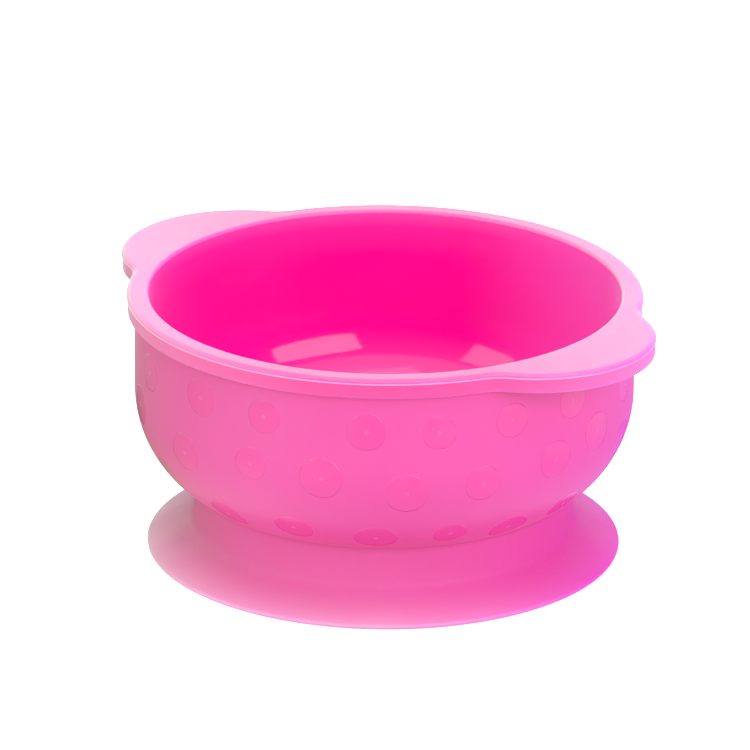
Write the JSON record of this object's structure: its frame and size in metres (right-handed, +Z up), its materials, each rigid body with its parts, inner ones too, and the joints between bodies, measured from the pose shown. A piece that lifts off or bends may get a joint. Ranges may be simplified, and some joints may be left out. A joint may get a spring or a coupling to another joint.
{
  "type": "suction bowl",
  "caption": "Round baby feeding bowl with finger ears on its rim and raised gloss dots, standing on a soft suction foot that presses flat to grip a table.",
  "frame": {"origin": "on the bowl's axis, in the plane of the table under the sealing lip", "axes": "+Z up along the bowl's axis, +X towards one ear and -X towards the other, +Y across the ears"},
  "size_m": [0.1478, 0.1234, 0.0645],
  "materials": {
    "bowl_plastic": "hot pink, glossy inside, satin frosted outside",
    "dot_gloss": "deeper pink, polished",
    "foot_soft": "finely matte, frosted"
  },
  "bodies": {
    "foot": {"sealing_lip": "foot_soft", "suction_skirt": "foot_soft"},
    "bowl": {"bowl_shell": "bowl_plastic", "gloss_dots": "dot_gloss", "foot_collar": "foot_soft", "foot_web": "foot_soft"}
  },
  "joints": [
    {"name": "press", "type": "slide", "parent": "foot", "child": "bowl", "axis": [0, 0, -1], "range_m": [0, 0.0035], "stiffness_N_per_m": 6000, "deforming": ["suction_skirt"]}
  ]
}
